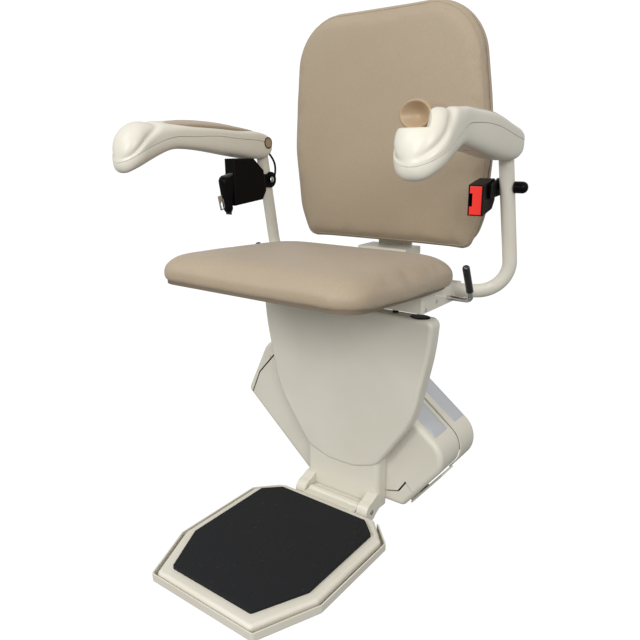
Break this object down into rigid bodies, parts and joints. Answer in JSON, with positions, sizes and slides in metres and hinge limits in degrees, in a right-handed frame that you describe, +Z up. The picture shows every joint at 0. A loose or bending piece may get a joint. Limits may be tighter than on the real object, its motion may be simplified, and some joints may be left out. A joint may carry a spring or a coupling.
{
  "type": "stairlift chair",
  "caption": "Stair lift chair on a rail carriage, with swivel seat, folding arms, seat and footrest, lap belt and control rocker.",
  "frame": {"origin": "on the rail's centre line, under the middle of the chair", "axes": "+Z up, the sitter faces -Y, +X is the sitter's left, which is down the stair; the rail falls 37.9 degrees towards +X"},
  "size_m": [0.656, 0.6204, 0.9781],
  "materials": {
    "ivory_paint": "satin powder coat",
    "ivory_plastic": "smooth satin moulding",
    "tan_vinyl": "matt upholstery vinyl with a fine grain",
    "tan_plastic": "satin",
    "tread_rubber": "matt with fine speckle",
    "black_plastic": "satin",
    "black_rubber": "matt",
    "bright_steel": "bright plated",
    "plain_steel": "machined",
    "cast_alloy": "as cast",
    "gear_bronze": "machined",
    "red_plastic": "gloss",
    "grip_vinyl": "dipped vinyl, gloss",
    "roller_nylon": "machined nylon",
    "battery_case": "matt",
    "circuit_board": "lacquered",
    "webbing": "woven",
    "back_shell": "fine texture"
  },
  "bodies": {
    "carriage": {"chassis_frame": "plain_steel", "front_cover": "ivory_plastic", "rear_cover": "ivory_plastic", "gearbox_case": "cast_alloy", "motor_case": "black_plastic", "batteries": "battery_case", "control_board": "circuit_board", "pedestal_post": "ivory_paint", "pedestal_cover": "ivory_paint", "shield_cover": "ivory_plastic", "post_caps": "black_plastic", "cover_screws": "plain_steel", "swivel_spindle": "plain_steel", "footrest_pin": "plain_steel", "swivel_stop": "black_rubber"},
    "upper_end": {"upper_end_cover": "ivory_plastic"},
    "lower_end": {"lower_end_cover": "ivory_plastic"},
    "roller_1": {"rail_roller_1": "roller_nylon"},
    "roller_2": {"rail_roller_2": "roller_nylon"},
    "roller_3": {"rail_roller_3": "roller_nylon"},
    "roller_4": {"rail_roller_4": "roller_nylon"},
    "drive": {"worm_wheel": "gear_bronze", "drive_pinion": "plain_steel"},
    "worm": {"motor_worm": "plain_steel"},
    "footrest": {"footrest_arm": "ivory_paint", "footrest_plate": "ivory_plastic", "tread_mat": "tread_rubber", "tray_springs": "plain_steel"},
    "tray": {"sensor_tray": "ivory_plastic"},
    "chair": {"seat_frame": "ivory_paint", "arm_tube_left": "ivory_paint", "arm_tube_right": "ivory_paint", "seat_bolts": "bright_steel", "seat_hinge_pins": "bright_steel", "back_bracket": "ivory_paint", "back_board": "tan_vinyl", "back_cushion": "tan_vinyl", "arm_pivots": "plain_steel", "retractor_frame": "plain_steel", "retractor_case": "black_plastic", "belt_webbing": "webbing", "belt_tongue": "bright_steel", "buckle_stalk": "plain_steel", "buckle_body": "black_plastic", "bolt_caps": "black_plastic", "belt_cable": "black_rubber"},
    "spool": {"belt_spool": "webbing"},
    "levers": {"swivel_levers": "bright_steel", "lever_grips": "grip_vinyl"},
    "plunger": {"lock_plunger": "plain_steel"},
    "seat": {"seat_board": "back_shell", "seat_cushion": "tan_vinyl"},
    "left_arm": {"arm_left_upper": "ivory_plastic", "arm_left_lower": "ivory_plastic", "arm_left_pad": "tan_vinyl"},
    "right_arm": {"arm_right_upper": "ivory_plastic", "arm_right_lower": "ivory_plastic", "arm_right_pad": "tan_vinyl"},
    "rocker": {"control_rocker": "tan_plastic"},
    "button": {"buckle_button": "red_plastic"}
  },
  "joints": [
    {"name": "upper_end_give", "type": "slide", "parent": "carriage", "child": "upper_end", "axis": [0.7891, 0, -0.6143], "range_m": [0, 0.003], "stiffness_N_per_m": 900, "springref_m": -0.003},
    {"name": "lower_end_give", "type": "slide", "parent": "carriage", "child": "lower_end", "axis": [-0.7891, 0, 0.6143], "range_m": [0, 0.003], "stiffness_N_per_m": 900, "springref_m": -0.003},
    {"name": "roller_1_spin", "type": "hinge", "parent": "carriage", "child": "roller_1", "pos_m": [-0.09071, 0, 0.15046], "axis": [0, 1, 0], "continuous": true},
    {"name": "roller_2_spin", "type": "hinge", "parent": "carriage", "child": "roller_2", "pos_m": [0.13812, 0, -0.02769], "axis": [0, 1, 0], "continuous": true},
    {"name": "roller_3_spin", "type": "hinge", "parent": "carriage", "child": "roller_3", "pos_m": [-0.12427, 0, 0.01944], "axis": [0, 1, 0], "continuous": true},
    {"name": "roller_4_spin", "type": "hinge", "parent": "carriage", "child": "roller_4", "pos_m": [0.02408, 0, -0.09605], "axis": [0, 1, 0], "continuous": true},
    {"name": "drive_spin", "type": "hinge", "parent": "carriage", "child": "drive", "pos_m": [-0.04484, 0, -0.0576], "axis": [0, 1, 0], "continuous": true},
    {"name": "worm_spin", "type": "hinge", "parent": "carriage", "child": "worm", "pos_m": [-0.01106, -0.0785, -0.0142], "axis": [0.7891, 0, -0.6143], "continuous": true},
    {"name": "footrest_fold", "type": "hinge", "parent": "carriage", "child": "footrest", "pos_m": [0, -0.171, -0.12], "axis": [-1, 0, 0], "range_deg": [0, 88]},
    {"name": "tray_give", "type": "slide", "parent": "footrest", "child": "tray", "axis": [0, 0, 1], "range_m": [0, 0.004], "stiffness_N_per_m": 1200, "springref_m": -0.004, "deforming": ["tray_springs"]},
    {"name": "seat_swivel", "type": "hinge", "parent": "carriage", "child": "chair", "pos_m": [0, -0.119, 0.322], "axis": [0, 0, 1], "range_deg": [-90, 90]},
    {"name": "seat_fold", "type": "hinge", "parent": "chair", "child": "seat", "pos_m": [0, -0.057, 0.344], "axis": [-1, 0, 0], "range_deg": [0, 76]},
    {"name": "left_arm_fold", "type": "hinge", "parent": "chair", "child": "left_arm", "pos_m": [0.276, -0.064, 0.598], "axis": [-1, 0, 0], "range_deg": [0, 90]},
    {"name": "right_arm_fold", "type": "hinge", "parent": "chair", "child": "right_arm", "pos_m": [-0.276, -0.064, 0.598], "axis": [-1, 0, 0], "range_deg": [0, 90]},
    {"name": "lever_turn", "type": "hinge", "parent": "chair", "child": "levers", "pos_m": [0, -0.087, 0.323], "axis": [1, 0, 0], "range_deg": [0, 20], "stiffness_Nm_per_rad": 0.9, "springref_deg": -20.05},
    {"name": "plunger_lift", "type": "slide", "parent": "chair", "child": "plunger", "axis": [0, 0, 1], "range_m": [0, 0.0062]},
    {"name": "rocker_tilt", "type": "hinge", "parent": "left_arm", "child": "rocker", "pos_m": [0.268, -0.347, 0.628], "axis": [0, 1, 0], "range_deg": [-12, 12], "stiffness_Nm_per_rad": 0.3},
    {"name": "spool_turn", "type": "hinge", "parent": "chair", "child": "spool", "pos_m": [-0.245, -0.135, 0.52], "axis": [1, 0, 0], "continuous": true},
    {"name": "button_press", "type": "slide", "parent": "chair", "child": "button", "axis": [0, 1, 0], "range_m": [0, 0.004], "stiffness_N_per_m": 500, "springref_m": -0.003}
  ],
  "couplings": [
    {"joint": "worm_spin", "follows": "drive_spin", "ratio": 36},
    {"joint": "plunger_lift", "follows": "lever_turn", "m_per_rad": 0.0172}
  ]
}
